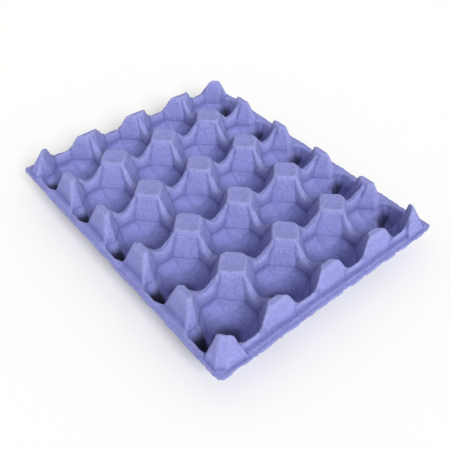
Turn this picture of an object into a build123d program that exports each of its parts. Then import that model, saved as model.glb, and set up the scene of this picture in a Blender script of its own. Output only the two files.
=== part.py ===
from build123d import *
import math
import os

# Moulded pulp egg tray: one thin shell, pressed in one piece.
# X runs across the short side, Y along the long side, Z up.
# The origin is under the middle of the tray, level with the feet of its cells.
# All sizes are in millimetres.

# Grid of cells, with a post at each crossing
cells_across = 4
cells_along = 5
pitch_across = 56.0
pitch_along = 57.0

# Thickness of the pulp
wall = 1.9

# Heights above the feet
waist_height = 12.0
fold_height = 25.3
flange_height = 28.5
saddle_height = 35.0
rim_saddle_height = 34.0
crown_height = 49.6

# Rise of the crown over the shoulder, and drop of the webs' ends below it
crown_rise = 1.0
web_top_drop = 1.6

# Flange, measured out from the outermost posts' axes, and its downturned lip
flange_reach_across = 9.4
flange_reach_along = 7.0
flange_corner = 5.0
lip_drop = 2.8

# Cell below the fold: reach of its flat sides and of its corner sides
waist_side = 16.0
waist_corner = 16.6
foot_side = 9.8
foot_corner = 10.2

# Post between cells: reach of its cell faces and of its ends under the webs
face_fold = 17.7
face_shoulder = 11.0
rim_face_shoulder = 13.0
end_fold = 21.1
end_shoulder = 13.5

# Crown that closes a post, set in from the shoulder
crown_inset = 0.6

# Web from post to post: half width, where its top slopes to the saddle, and
# how near to the outermost posts' axes its ends come
web_half_fold = 3.9
web_half_shoulder = 1.6
web_top_reach = 14.4
web_foot_reach = 25.0
web_root = 9.0

# Web along the short sides, thicker towards the cells and more deeply dipped
rim_web_half_fold = 4.6
rim_web_half_shoulder = 3.6
rim_web_foot_reach = 21.5

# Outer faces of the rim posts, measured out from the outermost posts' axes
outer_across_fold = 1.1
outer_across_shoulder = -6.3
outer_along_fold = 0.2
outer_along_shoulder = -6.8

# Rim posts on the long sides: flanks beside the pockets, and outer chamfers
flank_fold = 16.1
flank_shoulder = 9.2
side_chamfer_fold = 11.5
side_chamfer_shoulder = 0.3

# Corner posts: outer faces, flank, two chamfers, and the face towards the cell
corner_across_fold = 7.6
corner_across_shoulder = -4.0
corner_along_fold = 5.5
corner_along_shoulder = -5.2
corner_flank_shoulder = 14.3
corner_side_chamfer_fold = 15.5
corner_side_chamfer_shoulder = 7.0
corner_chamfer_fold = 6.2
corner_chamfer_shoulder = -9.6
corner_face_shoulder = 13.2

# Pocket that widens each cell on the long sides, deep and narrow, with a knee in
# its outer wall and a bevel between that wall and each of its sides
pocket_floor = 7.0
pocket_knee = 14.0
pocket_half_floor = 2.8
pocket_half_fold = 12.4
pocket_reach_floor = 22.2
pocket_reach_knee = 27.0
pocket_reach_flange = 31.8
pocket_bevel_angle = 28.0
pocket_bevel_knee = 25.7
pocket_bevel_flange = 31.4

# How far one form runs on inside another that it grows out of
overlap = 3.0


def post_x(i):
    return (i - cells_across / 2) * pitch_across


def post_y(j):
    return (j - cells_along / 2) * pitch_along


shoulder_height = crown_height - crown_rise
web_top_height = shoulder_height - web_top_drop
tray_x = post_x(cells_across) + flange_reach_across
tray_y = post_y(cells_along) + flange_reach_along
fold_side_across = pitch_across / 2 - web_half_fold
fold_side_along = pitch_along / 2 - web_half_fold
fold_corner = math.hypot(pitch_across, pitch_along) / 2 - face_fold


def block(x0, x1, y0, y1, z0, z1):
    return Pos(x0, y0, z0) * Box(x1 - x0, y1 - y0, z1 - z0, align=(Align.MIN,) * 3)


def trimmed(solid, angle, low, high, skin):
    """Trim a solid by a sloping face that looks outwards at a plan angle.

    Low and high are (reach, height) of two points on the face. The face is
    moved inwards by the skin, at right angles to itself.
    """
    length = math.dist(low, high)
    out = (high[1] - low[1]) / length
    up = (low[0] - high[0]) / length
    reach = low[0] - skin * out
    height = low[1] - skin * up
    turn = math.radians(angle)
    origin = (reach * math.cos(turn), reach * math.sin(turn), height)
    normal = (out * math.cos(turn), out * math.sin(turn), up)
    return split(solid, Plane(origin=origin, z_dir=normal), keep=Keep.BOTTOM)


def outer_trim(solid, angle, low, high, skin):
    """Trim by a face given by its reach at the fold and at the shoulder."""
    return trimmed(solid, angle, (low, fold_height), (high, shoulder_height), skin)


def post(sides, skin):
    """One post about its own axis.

    Sides hold (angle, reach at the fold, reach at the shoulder).
    """
    size = pitch_across + pitch_along
    solid = block(-size, size, -size, size, fold_height - overlap, crown_height - skin)
    for angle, low, high in sides:
        crown = (high - crown_inset, crown_height)
        solid = outer_trim(solid, angle, low, high, skin)
        solid = trimmed(solid, angle, (high, shoulder_height), crown, skin)
    return solid


def full_post(shoulder, skin):
    """Post with four faces towards cells, which reach this far at the shoulder."""
    sides = [(turn, end_fold, end_shoulder) for turn in (0, 90, 180, 270)]
    sides += [(turn, face_fold, shoulder) for turn in (45, 135, 225, 315)]
    return post(sides, skin)


def end_rim_post(skin):
    """Post on the short side at low Y; its outer face looks to -Y."""
    solid = full_post(rim_face_shoulder, skin)
    return outer_trim(solid, 270, outer_along_fold, outer_along_shoulder, skin)


def side_rim_post(skin):
    """Post on the long side at low X; its outer face looks to -X."""
    sides = [
        (0, end_fold, end_shoulder),
        (45, face_fold, rim_face_shoulder),
        (315, face_fold, rim_face_shoulder),
        (90, flank_fold, flank_shoulder),
        (270, flank_fold, flank_shoulder),
        (135, side_chamfer_fold, side_chamfer_shoulder),
        (225, side_chamfer_fold, side_chamfer_shoulder),
        (180, outer_across_fold, outer_across_shoulder),
    ]
    return post(sides, skin)


def corner_post(skin):
    """Post at low X and low Y."""
    sides = [
        (0, end_fold, end_shoulder),
        (45, face_fold, corner_face_shoulder),
        (90, flank_fold, corner_flank_shoulder),
        (135, corner_side_chamfer_fold, corner_side_chamfer_shoulder),
        (180, corner_across_fold, corner_across_shoulder),
        (225, corner_chamfer_fold, corner_chamfer_shoulder),
        (270, corner_along_fold, corner_along_shoulder),
    ]
    return post(sides, skin)


def valley(pitch, foot_reach, dip, skin):
    """Dip between two posts, centred on the span, open upwards."""
    gap = pitch / 2 - foot_reach
    top = pitch / 2 - web_top_reach
    room = pitch + crown_height
    solid = block(-room, room, -room, room, dip - skin, 2 * crown_height)
    for angle in (0, 180):
        solid = trimmed(solid, angle, (gap, dip), (top, web_top_height), -skin)
    return solid


def web(pitch, spans, dip, skin):
    """Web along X through a row of posts, with its middle at X = 0."""
    end = spans * pitch / 2 - web_root
    solid = block(-end, end, -pitch, pitch, fold_height - overlap, web_top_height - skin)
    for angle in (90, 270):
        solid = outer_trim(solid, angle, web_half_fold, web_half_shoulder, skin)
    dips = valley(pitch, web_foot_reach, dip, skin)
    return solid - along_row(dips, pitch, spans)


def rim_web(skin):
    """Web along the short side at low Y, with its middle at X = 0."""
    end = cells_across * pitch_across / 2 - web_root
    top = web_top_height - skin
    solid = block(-end, end, -pitch_along, pitch_along, fold_height - overlap, top)
    solid = outer_trim(solid, 90, rim_web_half_fold, rim_web_half_shoulder, skin)
    solid = outer_trim(solid, 270, outer_along_fold, outer_along_shoulder, skin)
    dips = valley(pitch_across, rim_web_foot_reach, rim_saddle_height, skin)
    return solid - along_row(dips, pitch_across, cells_across)


def along_row(solid, pitch, count):
    return [Pos((k - (count - 1) / 2) * pitch) * solid for k in range(count)]


def bowl(skin):
    """Space of one cell below and just above the fold, about the cell's centre."""
    size = pitch_across + pitch_along
    solid = block(-size, size, -size, size, wall - skin, flange_height + overlap)
    sides = [
        (0, foot_side, waist_side, fold_side_across),
        (180, foot_side, waist_side, fold_side_across),
        (90, foot_side, waist_side, fold_side_along),
        (270, foot_side, waist_side, fold_side_along),
    ]
    sides += [(turn, foot_corner, waist_corner, fold_corner) for turn in (45, 135, 225, 315)]
    for angle, foot, waist, fold in sides:
        solid = trimmed(solid, angle, (foot, wall), (waist, waist_height), -skin)
        solid = trimmed(solid, angle, (waist, waist_height), (fold, fold_height), -skin)
    return solid


def pocket(skin):
    """Space that widens a cell towards -X, out to the flange."""
    out = pitch_across / 2 + flange_reach_across
    top = flange_height + overlap
    knee = (pocket_reach_knee, pocket_knee)
    solid = block(-out, 0, -pitch_along, pitch_along, pocket_floor - skin, top)
    solid = trimmed(solid, 180, (pocket_reach_floor, pocket_floor), knee, -skin)
    solid = trimmed(solid, 180, knee, (pocket_reach_flange, flange_height), -skin)
    for angle in (180 - pocket_bevel_angle, 180 + pocket_bevel_angle):
        low = (pocket_bevel_knee, pocket_knee)
        solid = trimmed(solid, angle, low, (pocket_bevel_flange, flange_height), -skin)
    for angle in (90, 270):
        low = (pocket_half_floor, pocket_floor)
        solid = trimmed(solid, angle, low, (pocket_half_fold, fold_height), -skin)
    return solid


def in_all_corners(solid):
    across = mirror(solid, about=Plane.YZ)
    return [solid, across, mirror(solid, about=Plane.XZ), mirror(across, about=Plane.XZ)]


def on_both_long_sides(solid):
    return [solid, mirror(solid, about=Plane.YZ)]


def on_both_short_sides(solid):
    return [solid, mirror(solid, about=Plane.XZ)]


def raised_forms(skin):
    """Posts and webs that stand above the fold."""
    forms = in_all_corners(Pos(post_x(0), post_y(0)) * corner_post(skin))
    middle = full_post(face_shoulder, skin)
    end = end_rim_post(skin)
    side = side_rim_post(skin)
    row = web(pitch_across, cells_across, saddle_height, skin)
    column = Rot(0, 0, 90) * web(pitch_along, cells_along, saddle_height, skin)
    for i in range(1, cells_across):
        forms += on_both_short_sides(Pos(post_x(i), post_y(0)) * end)
        forms += [Pos(post_x(i), 0) * column]
    for j in range(1, cells_along):
        forms += on_both_long_sides(Pos(post_x(0), post_y(j)) * side)
        forms += [Pos(0, post_y(j)) * row]
        forms += [Pos(post_x(i), post_y(j)) * middle for i in range(1, cells_across)]
    forms += on_both_short_sides(Pos(0, post_y(0)) * rim_web(skin))
    return forms


def hollows(skin):
    """Cells, with the pocket of each cell on the long sides."""
    cell = bowl(skin)
    side = pocket(skin)
    voids = []
    for j in range(cells_along):
        y = post_y(j + 0.5)
        voids += on_both_long_sides(Pos(post_x(0.5), y) * side)
        voids += [Pos(post_x(i + 0.5), y) * cell for i in range(cells_across)]
    return voids


def plate(x, y, corner, z0, z1):
    outline = RectangleRounded(2 * x, 2 * y, corner)
    return Pos(0, 0, z0) * extrude(outline, z1 - z0)


def above_side():
    """Everything under the tray's upper surface."""
    base = plate(tray_x, tray_y, flange_corner, 0, flange_height)
    return (base - hollows(0)) + raised_forms(0)


def under_side():
    """Everything under the tray's lower surface."""
    inside = flange_height - wall
    base = plate(tray_x - wall, tray_y - wall, flange_corner - wall, -overlap, inside)
    base += plate(tray_x + wall, tray_y + wall, flange_corner, -overlap, flange_height - lip_drop)
    return (base - hollows(wall)) + raised_forms(wall)


def tray():
    return above_side() - under_side()


os.makedirs("parts", exist_ok=True)
pulp_tray = tray()
export_step(pulp_tray, "parts/pulp_tray.step")
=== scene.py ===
import math

import bmesh
import bpy
import numpy as np
from bpy.props import FloatProperty, FloatVectorProperty, PointerProperty
from mathutils import Euler, Matrix, Vector


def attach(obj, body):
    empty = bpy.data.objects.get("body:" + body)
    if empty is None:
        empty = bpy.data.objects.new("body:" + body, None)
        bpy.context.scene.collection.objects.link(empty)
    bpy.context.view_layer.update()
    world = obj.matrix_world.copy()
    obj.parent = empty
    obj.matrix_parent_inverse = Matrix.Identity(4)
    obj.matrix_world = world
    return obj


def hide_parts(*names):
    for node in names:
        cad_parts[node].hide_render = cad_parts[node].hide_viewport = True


bl_info = {
    "name": "Moulded pulp egg tray",
    "version": (1, 0, 0),
    "blender": (4, 5, 0),
    "location": "3D View > Sidebar > Egg tray",
    "description": "Moulds the tray's skin over its solid and sets the studio around it",
    "category": "Object",
}

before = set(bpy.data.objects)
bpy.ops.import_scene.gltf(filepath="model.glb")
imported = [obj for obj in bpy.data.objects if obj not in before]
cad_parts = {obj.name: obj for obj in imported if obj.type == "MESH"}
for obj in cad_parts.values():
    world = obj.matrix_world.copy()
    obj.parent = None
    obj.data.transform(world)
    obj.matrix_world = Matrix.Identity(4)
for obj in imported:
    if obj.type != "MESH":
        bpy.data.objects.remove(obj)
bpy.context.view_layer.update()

MM = 0.001

# The tray's own sizes in millimetres, the same as its solid has.
# Grid of cells, with a post at each crossing
CELLS_ACROSS = 4
CELLS_ALONG = 5
PITCH_ACROSS = 56.0
PITCH_ALONG = 57.0

# Heights above the feet
WAIST = 12.0
FOLD = 25.3
FLANGE = 28.5
SADDLE = 35.0
RIM_SADDLE = 34.0
WEB_TOP = 47.0
SHOULDER = 48.6
CROWN = 49.6

# Half sizes of the flange, and the radius of its corners
REACH_ACROSS = 121.4
REACH_ALONG = 149.5
FLANGE_CORNER = 5.0

# (reach at the fold, reach at the shoulder) of each face of the posts
END = (21.1, 13.5)
FACE = (17.7, 11.0)
RIM_FACE = (17.7, 13.0)
OUTER_ACROSS = (1.1, -6.3)
OUTER_ALONG = (0.2, -6.8)
FLANK = (16.1, 9.2)
SIDE_CHAMFER = (11.5, 0.3)
CORNER_ACROSS = (7.6, -4.0)
CORNER_ALONG = (5.5, -5.2)
CORNER_FLANK = (16.1, 14.3)
CORNER_SIDE_CHAMFER = (15.5, 7.0)
CORNER_CHAMFER = (6.2, -9.6)
CORNER_FACE = (17.7, 13.2)
CROWN_INSET = 0.6

# Round of the inner crowns: (reach, height) of two points on it. The dish in every
# crown: how far it reaches, and how flat its middle is
CROWN_ROUND = ((14.6, 46.4), (12.9, 49.6))
DISH_REACH = 9.0
DISH_POWER = 4

# Webs: half width at the fold and at the shoulder, the reach of each dip's top and
# foot from the posts, and how far from a rim post's axis its webs begin
WEB_HALF = (3.9, 1.6)
RIM_WEB_HALF = (4.6, 3.6)
WEB_TOP_REACH = 14.4
WEB_FOOT_REACH = 25.0
RIM_WEB_FOOT_REACH = 21.5
WEB_ROOT = 9.0

# Cells: how far their walls reach out at the foot, the waist and the fold, and how
# far the flat tongue below each face reaches at the waist
FOOT = 9.6
WAIST_REACH = 16.3
ROUND_FOLD = 25.4
TONGUE_WAIST = 16.6

# Pocket that widens each cell on the long sides, deep and narrow, with a knee in
# its outer wall and a bevel between that wall and each of its sides
POCKET_FLOOR = 7.0
POCKET_KNEE = 14.0
POCKET_HALF = (2.8, 12.4)
POCKET_REACH = (22.2, 27.0, 31.8)
POCKET_BEVEL = (25.7, 31.4)
POCKET_BEVEL_ANGLE = math.radians(28)

# How softly the wet pulp rounds each kind of edge, as a height
RIDGE_SOFT = 1.8
CROWN_SOFT = 0.8
WEB_SOFT = 5.0
DIP_SOFT = 4.0
JOIN_SOFT = 1.2
BOWL_SOFT = 1.2
FLAT_SOFT = 0.6
BRIM_SOFT = 1.4

# Bead round the flange and the groove outside it: (distance in from the edge, width),
# the groove's depth as a share of the bead's height, and how far in the edge is soft
BEAD = (4.9, 1.1)
GROOVE = (2.3, 0.9)
GROOVE_SHARE = 0.6
SOFT_EDGE = 0.6

# Lip that turns down at the edge: (how far in from the edge, height)
LIP = ((0.0, 26.7), (0.3, 25.9), (0.95, 25.7), (1.6, 25.8))

# The upper surface is divided at about 1 mm and the hidden one at about 2 mm. Points
# of the hidden one closer than SAME_POINT, as a share of its half size, are joined
DIVISIONS_ACROSS = 242
DIVISIONS_ALONG = 298
SAME_POINT = 1e-5

# Weights that smooth a grid of heights along one of its directions
BLUR = (1 / 16, 4 / 16, 6 / 16, 4 / 16, 1 / 16)

# Creases beside the faces: how wide, as a difference in height, how deep, and over
# what height they fade at the fold and at the shoulder
SEAM_WIDTH = 1.8
SEAM_DEPTH = 0.35
SEAM_FADE = 2.0

# Rise over the smoothed surface at which an edge counts as fully sharp
SHARP = 0.3

# Painted shade in the feet of the cells, where little light reaches: the height where it
# starts, over what height it grows, and its most
FOOT_SHADE_TOP = 6.0
FOOT_SHADE_DEPTH = 4.0
FOOT_SHADE_MOST = 0.7

# Painted shade in the pockets: (reach from the cell's middle where it starts, over what run it
# grows), and (height where it starts, over what height it grows). At high X it covers
# the half at high Y only, from an offset of its own, and is weaker
POCKET_SHADE_REACH = (15.5, 3.0)
POCKET_SHADE_TOP = (21.0, 6.0)
FAR_POCKET_SHADE_START = (1.0, 2.0)
FAR_POCKET_SHADE_MOST = 0.75

# Unevenness of the dried pulp: (wavelength, share, seed) of each ripple
WAVES_ACROSS = ((22, 1, 5), (5, 0.45, 6))
WAVES_ALONG = ((22, 1, 7), (5, 0.45, 8))
WAVES_UP = ((90, 1.6, 9), (12, 0.8, 10))

# Torn edge: its ripples and their mean, how far in it reaches, and the width of the
# margin where the flange warps less sideways
FRAY_WAVES = ((16, 0.4, 3), (3.6, 0.35, 4))
FRAY_MEAN = 0.35
FRAY_REACH = 1.4
EDGE_HOLD = 6.0

# What one ripple is made of: how many waves, and how far their lengths vary
WAVE_COUNT = 14
WAVE_SPREAD = (0.7, 1.5)

# Lines round the walls: (height, tone), with 0.5 for none, over a span of heights. The
# darkest, at the fold, is painted shade in the fold's hollow
LINE_SPAN = 60.0
NO_LINE = 0.5
MOULD_LINES_AND_FOLD_SHADE = (
    (11.4, 0.5), (12.0, 0.42), (12.6, 0.5), (20.9, 0.5), (21.4, 0.44), (21.9, 0.5),
    (23.6, 0.5), (24.3, 0.56), (24.9, 0.5), (25.3, 0.30), (25.8, 0.46), (26.3, 0.5),
    (35.6, 0.5), (36.0, 0.46), (36.4, 0.5), (42.7, 0.5), (43.1, 0.46), (43.5, 0.5),
)

# Noise in the pulp: (size, detail, roughness, distortion)
MOTTLE = (8, 4, 0.6, 0)
FIBRE = (1.1, 3, 0.65, 1.8)
LUMP = (3.2, 2, 0.5, 0)

# The part of the noise that counts, and the tones it is spread over
NOISE_SPAN = (0.3, 0.7)
FLECK_TONES = (0.70, 1.30)
PATCH_TONES = (0.94, 1.06)
# Tones of the painted shade in the feet and the pockets, from none to the most
PAINTED_SHADE_TONES = (1, 0.12)

# How much of the paler colour, partly wear and partly painted highlight, the sharpest
# ridges show, and how much painted shade the sharpest creases show
RUBBED_AND_HIGHLIGHT_MOST = 0.45
CREASE_SHADE_MOST = 0.6

# Relief too fine for the mesh: (strength, height)
LUMP_RELIEF = (0.8, 1.2)
FIBRE_RELIEF = (1.0, 0.8)

# How each surface takes the light
PULP_SURFACE = {
    "Roughness": 0.93, "IOR": 1.45, "Specular IOR Level": 0.25,
    "Sheen Weight": 0.04, "Sheen Roughness": 0.6,
}
BOARD_SURFACE = {"Roughness": 0.9, "IOR": 1.45, "Specular IOR Level": 0.2}

# Sockets of the node that mixes colours
MIX_SHARE = 0
MIX_FIRST = 6
MIX_SECOND = 7
MIX_RESULT = 2

# Studio: floor in metres, key light and the white room round it
FLOOR_RADIUS = 6.0
FLOOR_SIDES = 96
KEY_STRENGTH = 2.8
KEY_AZIMUTH = math.radians(-15)
KEY_ELEVATION = math.radians(38)
KEY_SPREAD = math.radians(28)
ROOM_STRENGTH = 0.55

# Camera: place and nearest distance in metres, sensor and focal length in millimetres
CAMERA_PLACE = (-0.255611, -0.306224, 0.375090)
CAMERA_AZIMUTH = math.radians(-40.827)
CAMERA_ELEVATION = math.radians(43.897)
CAMERA_ROLL = math.radians(1.438)
CAMERA_NEAREST = 0.01
SENSOR_WIDTH = 36
FOCAL_LENGTH = 45.79

DIAGONAL = math.sqrt(0.5)

# A height that is never the highest, and the other way up never the lowest
NOTHING = -1000.0


def linear(code):
    """Linear colour of an sRGB hex code."""
    parts = [int(code[k:k + 2], 16) / 255 for k in (0, 2, 4)]
    return [c / 12.92 if c <= 0.04045 else ((c + 0.055) / 1.055) ** 2.4 for c in parts]


class TraySizes(bpy.types.PropertyGroup):
    wall: FloatProperty(
        name="Pulp thickness", description="Thickness of the moulded wall",
        default=1.9 * MM, min=0.5 * MM, max=4 * MM, unit="LENGTH")
    crown_dish: FloatProperty(
        name="Crown dish", description="How far the middle of each post's crown is sunk",
        default=0.5 * MM, min=0, max=2 * MM, unit="LENGTH")
    bead: FloatProperty(
        name="Flange bead", description="Height of the bead that runs round the flange",
        default=0.4 * MM, min=0, max=2 * MM, unit="LENGTH")
    fray: FloatProperty(
        name="Edge fray", description="How far the torn edge of the flange runs in and out",
        default=1.1 * MM, min=0, max=2 * MM, unit="LENGTH")
    unevenness: FloatProperty(
        name="Unevenness", description="How far the dried pulp has warped from its mould",
        default=0.28 * MM, min=0, max=1 * MM, unit="LENGTH")


class TrayColours(bpy.types.PropertyGroup):
    dye: FloatVectorProperty(
        name="Dye", description="Colour of the dyed pulp",
        default=linear("8F92D2"), size=3, min=0, max=1, subtype="COLOR")
    # Paler colour for the ridges: partly wear, partly a painted highlight where light catches
    # them
    worn_and_highlight: FloatVectorProperty(
        name="Worn edges", description="Colour where edges are rubbed",
        default=linear("A0A4D8"), size=3, min=0, max=1, subtype="COLOR")
    # Painted shade for the creases: mixed in where the surface is concave and along the seams
    shade: FloatVectorProperty(
        name="Creases", description="Colour where the dye has gathered in creases",
        default=linear("5A5C9C"), size=3, min=0, max=1, subtype="COLOR")
    board: FloatVectorProperty(
        name="Floor", description="Colour of the studio floor",
        default=linear("F5F5F3"), size=3, min=0, max=1, subtype="COLOR")


def share_of(run, whole):
    """How much of a whole a run covers, from 0 to 1."""
    return np.clip(run / whole, 0, 1)


def swell(distance, place, width):
    """A smooth swelling of height 1 round a place."""
    return np.exp(-((distance - place) / width) ** 2)


def soft_min(a, b, soft):
    """The lower of two heights, rounded off where they meet."""
    near = np.maximum(soft - np.abs(a - b), 0) / soft
    return np.minimum(a, b) - near * near * soft / 4


def soft_max(a, b, soft):
    """The higher of two heights, filleted where they meet."""
    return -soft_min(-a, -b, soft)


def slope(distance, low, high, skin):
    """Height of a sloping face through two (reach, height) points.

    The skin is how far the face is moved in, at right angles to itself.
    """
    rise = (high[1] - low[1]) / (high[0] - low[0])
    return low[1] + (distance - low[0]) * rise - skin * math.hypot(1, rise)


def face(distance, reach, skin):
    """Height of a face given by its reach at the fold and at the shoulder."""
    return slope(distance, (reach[0], FOLD), (reach[1], SHOULDER), skin)


def folded(x, y):
    """Points mirrored into the quarter at low X and low Y."""
    return -np.abs(x), -np.abs(y)


def from_post(x, y):
    """Number of the nearest post each way, and the offset from its axis."""
    half_across = CELLS_ACROSS / 2
    half_along = CELLS_ALONG / 2
    i = np.clip(np.round(x / PITCH_ACROSS + half_across), 0, CELLS_ACROSS // 2)
    j = np.clip(np.round(y / PITCH_ALONG + half_along), 0, CELLS_ALONG // 2)
    u = x - (i - half_across) * PITCH_ACROSS
    v = y - (j - half_along) * PITCH_ALONG
    return i, j, u, v


def from_cell(x, y):
    """Number of the nearest cell across, and the offset from its middle."""
    middle_across = (CELLS_ACROSS - 1) / 2
    middle_along = (CELLS_ALONG - 1) / 2
    i = np.clip(np.round(x / PITCH_ACROSS + middle_across), 0, CELLS_ACROSS // 2 - 1)
    j = np.clip(np.round(y / PITCH_ALONG + middle_along), 0, CELLS_ALONG // 2)
    u = x - (i - middle_across) * PITCH_ACROSS
    v = y - (j - middle_along) * PITCH_ALONG
    return i, u, v


def from_edge(x, y):
    """Distance in from the flange's rounded outline."""
    out_across = np.abs(x) - (REACH_ACROSS - FLANGE_CORNER)
    out_along = np.abs(y) - (REACH_ALONG - FLANGE_CORNER)
    beyond = np.hypot(np.maximum(out_across, 0), np.maximum(out_along, 0))
    return FLANGE_CORNER - beyond - np.minimum(np.maximum(out_across, out_along), 0)


def post(sides, crown, skin):
    """Height of a post closed by its crown; sides hold (distance, reach)."""
    height = crown
    for distance, reach in sides:
        bevel_top = (reach[1] - CROWN_INSET, CROWN)
        bevel = slope(distance, (reach[1], SHOULDER), bevel_top, skin)
        height = soft_min(height, bevel, CROWN_SOFT)
        height = soft_min(height, face(distance, reach, skin), RIDGE_SOFT)
    return height


def posts(x, y, dish, skin):
    """Height of the posts, each kind with its own faces."""
    i, j, u, v = from_post(x, y)
    across = np.abs(u)
    along = np.abs(v)
    reach = np.hypot(u, v)
    crown = CROWN - skin - dish * np.exp(-(reach / DISH_REACH) ** DISH_POWER)
    round_crown = soft_min(crown, slope(reach, *CROWN_ROUND, skin), CROWN_SOFT)
    ends = [(across, END), (along, END)]
    inner = post(ends + [((across + along) * DIAGONAL, FACE)], round_crown, skin)
    end = post(ends + [((across + along) * DIAGONAL, RIM_FACE)], crown, skin)
    end = soft_min(end, face(-v, OUTER_ALONG, skin), RIDGE_SOFT)
    side = post([
        (u, END),
        ((u + along) * DIAGONAL, RIM_FACE),
        (along, FLANK),
        ((along - u) * DIAGONAL, SIDE_CHAMFER),
        (-u, OUTER_ACROSS),
    ], crown, skin)
    corner = post([
        (u, END),
        ((u + v) * DIAGONAL, CORNER_FACE),
        (v, CORNER_FLANK),
        ((v - u) * DIAGONAL, CORNER_SIDE_CHAMFER),
        (-u, CORNER_ACROSS),
        ((-u - v) * DIAGONAL, CORNER_CHAMFER),
        (-v, CORNER_ALONG),
    ], crown, skin)
    outside = np.where(i == 0, side, end)
    outside = np.where((i == 0) & (j == 0), corner, outside)
    return np.where((i > 0) & (j > 0), inner, outside)


def dip(run, foot_reach, bottom, skin):
    """Height of a web's top at a distance from the post it starts at."""
    top = slope(run, (foot_reach, bottom), (WEB_TOP_REACH, WEB_TOP), skin)
    return np.minimum(soft_max(top, bottom - skin, DIP_SOFT), WEB_TOP - skin)


def inner_web(aside, run, skin):
    """Height of a web at a distance aside from its middle and a run from its post."""
    flanks = face(aside, WEB_HALF, skin)
    return soft_min(flanks, dip(run, WEB_FOOT_REACH, SADDLE, skin), WEB_SOFT)


def webs(x, y, skin):
    """Height of the webs between the posts."""
    i, j, u, v = from_post(x, y)
    across = np.abs(u)
    along = np.abs(v)
    row = inner_web(along, across, skin)
    column = inner_web(across, along, skin)
    rim = soft_min(face(v, RIM_WEB_HALF, skin), face(-v, OUTER_ALONG, skin), RIDGE_SOFT)
    rim = soft_min(rim, dip(across, RIM_WEB_FOOT_REACH, RIM_SADDLE, skin), JOIN_SOFT)
    past_root = (i > 0) | (u > WEB_ROOT)
    row = np.where((j > 0) & past_root, row, NOTHING)
    rim = np.where((j == 0) & past_root, rim, NOTHING)
    column = np.where((i > 0) & ((j > 0) | (v > WEB_ROOT)), column, NOTHING)
    return np.maximum(np.maximum(row, column), rim)


def bowl(u, v, floor, skin):
    """Height of a cell's wall at an offset from its middle.

    It is round, with flats above the waist under the webs and the posts' faces.
    """
    across = np.abs(u)
    along = np.abs(v)
    reach = np.hypot(u, v)
    waist = (WAIST_REACH, WAIST)
    height = np.maximum(
        slope(reach, (FOOT, floor), waist, skin),
        slope(reach, waist, (ROUND_FOLD, FOLD), skin))
    tongue_fold = math.hypot(PITCH_ACROSS, PITCH_ALONG) / 2 - FACE[0]
    for distance, waist_reach, fold_reach in (
        (across, WAIST_REACH, PITCH_ACROSS / 2 - WEB_HALF[0]),
        (along, WAIST_REACH, PITCH_ALONG / 2 - WEB_HALF[0]),
        ((across + along) * DIAGONAL, TONGUE_WAIST, tongue_fold),
    ):
        flat = slope(distance, (waist_reach, WAIST), (fold_reach, FOLD), skin)
        height = soft_max(height, flat, FLAT_SOFT)
    return height


def pocket(u, v, skin):
    """Height of the deep pocket that widens a cell towards -X, out to the flange."""
    along = np.abs(v)
    bevel_run = -u * math.cos(POCKET_BEVEL_ANGLE) + along * math.sin(POCKET_BEVEL_ANGLE)
    knee = (POCKET_REACH[1], POCKET_KNEE)
    height = np.full_like(u, POCKET_FLOOR - skin)
    for wall in (
        slope(-u, (POCKET_REACH[0], POCKET_FLOOR), knee, skin),
        slope(-u, knee, (POCKET_REACH[2], FLANGE), skin),
        slope(bevel_run, (POCKET_BEVEL[0], POCKET_KNEE), (POCKET_BEVEL[1], FLANGE), skin),
        slope(along, (POCKET_HALF[0], POCKET_FLOOR), (POCKET_HALF[1], FOLD), skin),
    ):
        height = soft_max(height, wall, BOWL_SOFT)
    return height


def brim(x, y, bead, skin):
    """Height of the flange, with its bead, the groove outside it and a soft edge."""
    inward = from_edge(x, y)
    height = FLANGE - skin + bead * swell(inward, *BEAD)
    height -= GROOVE_SHARE * bead * swell(inward, *GROOVE)
    height -= bead * np.exp(-inward / SOFT_EDGE)
    return height


def surface(x, y, sizes, skin):
    """Height of the tray's upper surface, or of the lower one at a skin's depth."""
    fx, fy = folded(x, y)
    i, u, v = from_cell(fx, fy)
    floor = sizes.wall / MM
    side = np.where((i == 0) & (u < 0), pocket(u, v, skin), -NOTHING)
    cell = soft_min(bowl(u, v, floor, skin), side, BOWL_SOFT)
    cell = soft_max(cell, floor - skin, DIP_SOFT)
    base = soft_min(brim(x, y, sizes.bead / MM, skin), cell, BRIM_SOFT)
    raised = soft_max(posts(fx, fy, sizes.crown_dish / MM, skin), webs(fx, fy, skin), JOIN_SOFT)
    return soft_max(base, raised, JOIN_SOFT)


def seams(x, y):
    """How near points are to the creases beside the faces of the posts, 0 to 1."""
    i, j, u, v = from_post(*folded(x, y))
    across = np.abs(u)
    along = np.abs(v)
    front = face((across + along) * DIAGONAL, FACE, 0)
    end = np.minimum(face(across, END, 0), face(along, END, 0))
    height = np.minimum(front, end)
    inner = (i > 0) | (u > 0)
    inner &= (j > 0) | (v > 0)
    near = swell(front, end, SEAM_WIDTH) * inner
    return near * share_of(height - FOLD, SEAM_FADE) * share_of(SHOULDER - height, SEAM_FADE)


def pocket_shade(x, y, z):
    """How much painted shade points in the pockets at the long sides take, 0 to 1.

    The pockets at low X are painted dark right across, and those at high X only in
    their half at high Y, since the light falls into the other half.
    """
    i, u, v = from_cell(*folded(x, y))
    far_start, far_run = FAR_POCKET_SHADE_START
    far = FAR_POCKET_SHADE_MOST * share_of(-v * np.sign(y) - far_start, far_run)
    side = np.where(x < 0, 1, far)
    outward = share_of(-u - POCKET_SHADE_REACH[0], POCKET_SHADE_REACH[1])
    return (i == 0) * side * outward * share_of(POCKET_SHADE_TOP[0] - z, POCKET_SHADE_TOP[1])


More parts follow.
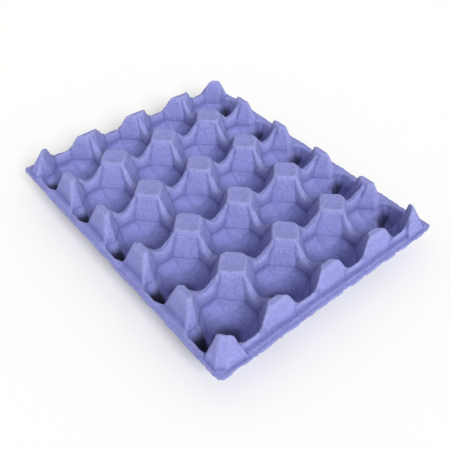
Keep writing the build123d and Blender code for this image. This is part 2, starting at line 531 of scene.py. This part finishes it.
def ripple(points, wavelength, seed):
    """Smooth seeded unevenness of about -1 to 1 at points in space."""
    rng = np.random.default_rng(seed)
    waves = rng.normal(size=(WAVE_COUNT, 3))
    lengths = wavelength * rng.uniform(*WAVE_SPREAD, (WAVE_COUNT, 1))
    waves *= 2 * math.pi / lengths / np.linalg.norm(waves, axis=1, keepdims=True)
    phases = rng.uniform(0, 2 * math.pi, WAVE_COUNT)
    return np.sin(points @ waves.T + phases).sum(axis=1) / math.sqrt(WAVE_COUNT)


def ripples(points, waves, mean=0.0):
    """Several ripples added up, each given as (wavelength, share, seed)."""
    return sum((share * ripple(points, length, seed) for length, share, seed in waves), mean)


def weathered(x, y, z, sizes):
    """The moulded shape as it dried: warped, wavy, and torn along its edge.

    It keeps the height of its feet and of its crowns, and warps most half way up.
    """
    points = np.column_stack((x, y, z))
    inward = from_edge(x, y)
    free = share_of(inward, EDGE_HOLD)
    wave = sizes.unevenness / MM
    room = 4 * (z / CROWN) * (1 - z / CROWN)
    fray = np.clip(ripples(points, FRAY_WAVES, FRAY_MEAN), 0, 1)
    torn = fray * sizes.fray / MM * np.exp(-np.maximum(inward, 0) / FRAY_REACH)
    pull = 1 - torn / REACH_ACROSS
    new_x = x * pull + free * wave * ripples(points, WAVES_ACROSS)
    new_y = y * pull + free * wave * ripples(points, WAVES_ALONG)
    new_z = z + room * wave * ripples(points, WAVES_UP)
    return new_x, new_y, np.clip(new_z, 0, CROWN)


def open_edges(bm):
    """Edges with a face on one side only."""
    return [edge for edge in bm.edges if edge.is_boundary]


def set_level(geometry, layer, level):
    """Note which ring of the skin the points in some geometry belong to."""
    for item in geometry:
        if isinstance(item, bmesh.types.BMVert):
            item[layer] = level


def shell_of_grids():
    """Two unit grids joined at their edges by the strips of the lip.

    The level of a point is 0 on the upper grid, counts up along the lip, and is
    highest on the lower grid.
    """
    bm = bmesh.new()
    layer = bm.verts.layers.int.new("level")
    bmesh.ops.create_grid(bm, x_segments=DIVISIONS_ACROSS, y_segments=DIVISIONS_ALONG, size=1)
    last = len(LIP) + 1
    for step in range(1, last + 1):
        strip = bmesh.ops.extrude_edge_only(bm, edges=open_edges(bm))
        set_level(strip["geom"], layer, step)
    lower = bmesh.ops.create_grid(
        bm, x_segments=DIVISIONS_ACROSS // 2, y_segments=DIVISIONS_ALONG // 2, size=1)["verts"]
    set_level(lower, layer, last)
    lower = set(lower)
    rim = [edge for edge in open_edges(bm) if lower.issuperset(edge.verts)]
    split = bmesh.ops.subdivide_edges(bm, edges=rim, cuts=1)
    set_level(split["geom_inner"], layer, last)
    joined = [vert for vert in bm.verts if vert[layer] == last]
    bmesh.ops.remove_doubles(bm, verts=joined, dist=SAME_POINT)
    return bm


def rounded_corners(x, y, inset):
    """Points of a rectangle drawn in so that its corners are quarter circles."""
    radius = FLANGE_CORNER - inset
    core_across = REACH_ACROSS - FLANGE_CORNER
    core_along = REACH_ALONG - FLANGE_CORNER
    a = np.maximum(np.abs(x) - core_across, 0) / radius
    b = np.maximum(np.abs(y) - core_along, 0) / radius
    out_x = np.minimum(np.abs(x), core_across) + radius * a * np.sqrt(1 - b * b / 2)
    out_y = np.minimum(np.abs(y), core_along) + radius * b * np.sqrt(1 - a * a / 2)
    return np.sign(x) * out_x, np.sign(y) * out_y


def blurred(grid):
    """A grid of heights smoothed over about 2 mm each way."""
    margin = len(BLUR) // 2
    for axis in (0, 1):
        padding = [(margin, margin) if k == axis else (0, 0) for k in (0, 1)]
        padded = np.pad(grid, padding, mode="edge")
        size = grid.shape[axis]
        grid = sum(
            weight * np.take(padded, range(k, k + size), axis=axis)
            for k, weight in enumerate(BLUR))
    return grid


def steepness(grid):
    """Length of the slope for each millimetre of plan, over a grid of heights."""
    along, across = np.gradient(
        grid, 2 * REACH_ALONG / DIVISIONS_ALONG, 2 * REACH_ACROSS / DIVISIONS_ACROSS)
    return np.sqrt(1 + along * along + across * across)


def tray_mesh(name, sizes):
    """The whole skin of the tray as one closed mesh, marked with its paler ridges, partly
    wear and partly painted highlight, and with painted shade in its creases, feet and pockets.
    """
    bm = shell_of_grids()
    mesh = bpy.data.meshes.new(name)
    bm.to_mesh(mesh)
    bm.free()
    count = len(mesh.vertices)
    flat = np.empty(count * 3)
    mesh.vertices.foreach_get("co", flat)
    unit = flat.reshape(-1, 3)
    level = np.empty(count, np.int32)
    mesh.attributes["level"].data.foreach_get("value", level)
    mesh.attributes.remove(mesh.attributes["level"])

    wall = sizes.wall / MM
    insets = np.array([0.0] + [inset for inset, _ in LIP] + [wall])[level]
    x, y = rounded_corners(
        unit[:, 0] * (REACH_ACROSS - insets), unit[:, 1] * (REACH_ALONG - insets), insets)
    z = np.array([0.0] + [height for _, height in LIP] + [0.0])[level]
    under = level == len(LIP) + 1
    z[under] = surface(x[under], y[under], sizes, wall)

    top = level == 0
    row = np.round((unit[top, 1] + 1) / 2 * DIVISIONS_ALONG).astype(int)
    column = np.round((unit[top, 0] + 1) / 2 * DIVISIONS_ACROSS).astype(int)
    grid = np.zeros((DIVISIONS_ALONG + 1, DIVISIONS_ACROSS + 1))
    grid[row, column] = surface(x[top], y[top], sizes, 0.0)
    sharpness = (grid - blurred(grid)) / steepness(grid)
    seam = np.zeros_like(grid)
    seam[row, column] = seams(x[top], y[top])
    # Painted shade in the pockets, as a grid
    depth = np.zeros_like(grid)
    depth[row, column] = pocket_shade(x[top], y[top], grid[row, column])
    grid = grid - SEAM_DEPTH * seam * steepness(grid)
    z[top] = grid[row, column]
    z[top] *= CROWN / z[top].max()

    x, y, z = weathered(x, y, z, sizes)
    mesh.vertices.foreach_set("co", (np.column_stack((x, y, z)) * MM).ravel())
    marks = {
        # Paler ridges: partly wear, partly a painted highlight
        "ridge": share_of(sharpness, SHARP),
        # Painted shade in the creases and along the seams beside the posts' faces
        "crease_shade": np.maximum(share_of(-sharpness, SHARP), seam),
        # Painted shade: darker in the feet of the cells and in the pockets, where shade falls
        "painted_shade": np.maximum(FOOT_SHADE_MOST * share_of(FOOT_SHADE_TOP - grid, FOOT_SHADE_DEPTH), depth),
    }
    for label, values in marks.items():
        mark = np.zeros(count)
        mark[top] = values[row, column]
        layer = mesh.attributes.new(label, "FLOAT", "POINT")
        layer.data.foreach_set("value", mark)
    return mesh


def finish_faces(mesh):
    """Turn the skin's faces outwards and split them along their shorter diagonals."""
    bm = bmesh.new()
    bm.from_mesh(mesh)
    bmesh.ops.recalc_face_normals(bm, faces=bm.faces)
    bmesh.ops.triangulate(bm, faces=bm.faces, quad_method="SHORT_EDGE")
    for facet in bm.faces:
        facet.smooth = True
    bm.to_mesh(mesh)
    bm.free()


def new_object(name, mesh, material):
    """An object of one mesh and one material, put into the scene."""
    piece = bpy.data.objects.new(name, mesh)
    mesh.materials.append(material)
    bpy.context.scene.collection.objects.link(piece)
    return piece


def new_material(name):
    """A material with an empty tree."""
    material = bpy.data.materials.new(name)
    material.use_nodes = True
    material.node_tree.nodes.clear()
    return material


def rgba(colour):
    """A colour with nothing shining through."""
    return (*colour, 1.0)


def add_node(tree, kind, settings=None, links=None):
    """Add a shader node with its settings, and link its inputs."""
    node = tree.nodes.new(kind)
    for key, value in (settings or {}).items():
        if isinstance(key, int) or key in node.inputs.keys():
            node.inputs[key].default_value = value
        else:
            setattr(node, key, value)
    for key, source in (links or {}).items():
        tree.links.new(source, node.inputs[key])
    return node


def noise(tree, spot, grain):
    """Noise at a spot, its grain given as (size, detail, roughness, distortion)."""
    size, detail, roughness, distortion = grain
    settings = {
        "Scale": 1 / size, "Detail": detail, "Roughness": roughness, "Distortion": distortion,
    }
    return add_node(tree, "ShaderNodeTexNoise", settings, {"Vector": spot}).outputs["Fac"]


def mark_of(tree, label):
    """One of the marks that the skin carries at its points."""
    return add_node(tree, "ShaderNodeAttribute", {"attribute_name": label}).outputs["Fac"]


def toned(tree, value, span, tones):
    """A value spread from a span over two tones."""
    settings = {
        "From Min": span[0], "From Max": span[1], "To Min": tones[0], "To Max": tones[1],
    }
    return add_node(tree, "ShaderNodeMapRange", settings, {"Value": value}).outputs["Result"]


def product(tree, value, by):
    """A value multiplied by another one, or by a plain number."""
    node = add_node(tree, "ShaderNodeMath", {"operation": "MULTIPLY"}, {0: value})
    if isinstance(by, float):
        node.inputs[1].default_value = by
    else:
        tree.links.new(by, node.inputs[1])
    return node.outputs["Value"]


def relief(tree, height, depth, over=None):
    """Fine relief, its depth given as (strength, height), over a coarser one."""
    strength, distance = depth
    links = {"Height": height}
    if over is not None:
        links["Normal"] = over
    settings = {"Strength": strength, "Distance": distance * MM}
    return add_node(tree, "ShaderNodeBump", settings, links).outputs["Normal"]


def mould_lines_and_fold_shade(tree, share):
    """Lines that the mould's joints print round the walls, as a factor on the colour.

    The darkest runs along the fold and is painted shade in the fold's hollow, with a
    paler one just below it.
    """
    ramp = add_node(tree, "ShaderNodeValToRGB", {}, {"Fac": share})
    stops = ramp.color_ramp.elements
    for stop, position in zip(stops, (0, 1)):
        stop.position = position
        stop.color = (NO_LINE, NO_LINE, NO_LINE, 1)
    for height, tone in MOULD_LINES_AND_FOLD_SHADE:
        stops.new(height / LINE_SPAN).color = (tone, tone, tone, 1)
    return toned(tree, ramp.outputs["Color"], (0, NO_LINE), (0, 1))


def dyed_moulded_pulp(colours):
    """Dyed paper pulp, sucked onto a mesh mould and dried.

    The eye sees a matt, faintly fuzzy skin: short fibres about 1 mm long, lumps
    about 3 mm wide, a mottled dye in patches about 8 mm wide, pale ridges that are
    partly wear and partly a painted highlight, painted shade in the creases, fine lines
    round the walls with painted shade along the fold, and painted shade in the feet of
    the cells and in the pockets.
    """
    material = new_material("dyed_moulded_pulp")
    tree = material.node_tree
    place = add_node(tree, "ShaderNodeTexCoord").outputs["Object"]
    spot = add_node(
        tree, "ShaderNodeVectorMath", {"operation": "SCALE", "Scale": 1 / MM},
        {0: place}).outputs["Vector"]
    mottle = noise(tree, spot, MOTTLE)
    fibre = noise(tree, spot, FIBRE)
    lump = noise(tree, spot, LUMP)

    fleck = toned(tree, fibre, NOISE_SPAN, FLECK_TONES)
    patch = toned(tree, mottle, NOISE_SPAN, PATCH_TONES)
    uneven = product(tree, fleck, patch)
    sides = add_node(tree, "ShaderNodeSeparateXYZ", {}, {0: spot})
    share = add_node(
        tree, "ShaderNodeMath", {"operation": "DIVIDE", 1: LINE_SPAN},
        {0: sides.outputs["Z"]}).outputs["Value"]
    # Lines round the walls, the darkest being painted shade along the fold
    ruled = product(tree, uneven, mould_lines_and_fold_shade(tree, share))
    # Painted shade in the feet of the cells and in the pockets
    painted_shade_factor = toned(tree, mark_of(tree, "painted_shade"), (0, 1), PAINTED_SHADE_TONES)
    tone = product(tree, ruled, painted_shade_factor)

    # Paler ridges: partly wear, partly a painted highlight
    rubbed_and_highlight = product(tree, mark_of(tree, "ridge"), RUBBED_AND_HIGHLIGHT_MOST)
    # Painted shade in the creases
    crease_shade_share = product(tree, mark_of(tree, "crease_shade"), CREASE_SHADE_MOST)
    paler = add_node(
        tree, "ShaderNodeMix",
        {"data_type": "RGBA", MIX_FIRST: rgba(colours.dye), MIX_SECOND: rgba(colours.worn_and_highlight)},
        {MIX_SHARE: rubbed_and_highlight}).outputs[MIX_RESULT]
    darker = add_node(
        tree, "ShaderNodeMix", {"data_type": "RGBA", MIX_SECOND: rgba(colours.shade)},
        {MIX_SHARE: crease_shade_share, MIX_FIRST: paler}).outputs[MIX_RESULT]
    tint = add_node(
        tree, "ShaderNodeVectorMath", {"operation": "SCALE"},
        {0: darker, "Scale": tone}).outputs["Vector"]

    lumps = relief(tree, lump, LUMP_RELIEF)
    fibres = relief(tree, fibre, FIBRE_RELIEF, lumps)
    shader = add_node(
        tree, "ShaderNodeBsdfPrincipled", PULP_SURFACE, {"Base Color": tint, "Normal": fibres})
    add_node(tree, "ShaderNodeOutputMaterial", {}, {"Surface": shader.outputs["BSDF"]})
    return material


def matt_painted_board(colours):
    """Matt painted board for the floor: the eye sees it plain, pale and even."""
    material = new_material("matt_painted_board")
    tree = material.node_tree
    settings = {"Base Color": rgba(colours.board), **BOARD_SURFACE}
    shader = add_node(tree, "ShaderNodeBsdfPrincipled", settings)
    add_node(tree, "ShaderNodeOutputMaterial", {}, {"Surface": shader.outputs["BSDF"]})
    return material


class TRAY_OT_mould_skin(bpy.types.Operator):
    """Mould the tray's skin: cells, posts, webs, pockets and flange in one piece."""

    bl_idname = "tray.mould_skin"
    bl_label = "Mould the tray's skin"

    def execute(self, context):
        scene = context.scene
        mesh = tray_mesh("pulp_tray_skin", scene.tray_sizes)
        finish_faces(mesh)
        piece = new_object("pulp_tray_skin", mesh, dyed_moulded_pulp(scene.tray_colours))
        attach(piece, "root")
        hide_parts("pulp_tray")
        return {"FINISHED"}


def lay_floor(colours):
    """A wide pale floor under the tray."""
    bm = bmesh.new()
    bmesh.ops.create_circle(bm, cap_ends=True, segments=FLOOR_SIDES, radius=FLOOR_RADIUS)
    mesh = bpy.data.meshes.new("floor")
    bm.to_mesh(mesh)
    bm.free()
    new_object("floor", mesh, matt_painted_board(colours))


def hang_lights():
    """One broad soft light from the right and front, and an even white room."""
    key = bpy.data.lights.new("key", "SUN")
    key.energy = KEY_STRENGTH
    key.angle = KEY_SPREAD
    lamp = bpy.data.objects.new("key", key)
    lamp.rotation_euler = (math.pi / 2 - KEY_ELEVATION, 0, KEY_AZIMUTH)
    bpy.context.scene.collection.objects.link(lamp)
    world = bpy.data.worlds.new("white_room")
    world.use_nodes = True
    background = world.node_tree.nodes["Background"]
    background.inputs["Color"].default_value = (1, 1, 1, 1)
    background.inputs["Strength"].default_value = ROOM_STRENGTH
    bpy.context.scene.world = world


def place_camera():
    """The photograph's own viewpoint, worked out from the posts and the flange."""
    lens = bpy.data.cameras.new("camera")
    lens.sensor_width = SENSOR_WIDTH
    lens.lens = FOCAL_LENGTH
    lens.clip_start = CAMERA_NEAREST
    camera = bpy.data.objects.new("camera", lens)
    turn = Euler((math.pi / 2 - CAMERA_ELEVATION, 0, CAMERA_AZIMUTH)).to_matrix()
    turn = turn @ Matrix.Rotation(CAMERA_ROLL, 3, "Z")
    camera.matrix_world = Matrix.Translation(Vector(CAMERA_PLACE)) @ turn.to_4x4()
    bpy.context.scene.collection.objects.link(camera)
    bpy.context.scene.camera = camera


class TRAY_OT_set_stage(bpy.types.Operator):
    """Lay the floor, hang the lights and place the camera."""

    bl_idname = "tray.set_stage"
    bl_label = "Set the stage"

    def execute(self, context):
        lay_floor(context.scene.tray_colours)
        hang_lights()
        place_camera()
        context.scene.view_settings.view_transform = "Standard"
        return {"FINISHED"}


STEPS = (TRAY_OT_mould_skin, TRAY_OT_set_stage)


class TRAY_PT_panel(bpy.types.Panel):
    """Sizes, colours and steps of the egg tray."""

    bl_idname = "TRAY_PT_panel"
    bl_label = "Egg tray"
    bl_space_type = "VIEW_3D"
    bl_region_type = "UI"
    bl_category = "Egg tray"

    def draw(self, context):
        for group in (context.scene.tray_sizes, context.scene.tray_colours):
            for name in group.__annotations__:
                self.layout.prop(group, name)
        for step in STEPS:
            self.layout.operator(step.bl_idname)


CLASSES = (TraySizes, TrayColours, *STEPS, TRAY_PT_panel)


def register():
    for cls in CLASSES:
        bpy.utils.register_class(cls)
    bpy.types.Scene.tray_sizes = PointerProperty(type=TraySizes)
    bpy.types.Scene.tray_colours = PointerProperty(type=TrayColours)


def unregister():
    del bpy.types.Scene.tray_colours
    del bpy.types.Scene.tray_sizes
    for cls in reversed(CLASSES):
        bpy.utils.unregister_class(cls)


def main():
    """Build the tray and its stage."""
    register()
    bpy.ops.tray.mould_skin()
    bpy.ops.tray.set_stage()


if __name__ == "__main__":
    main()
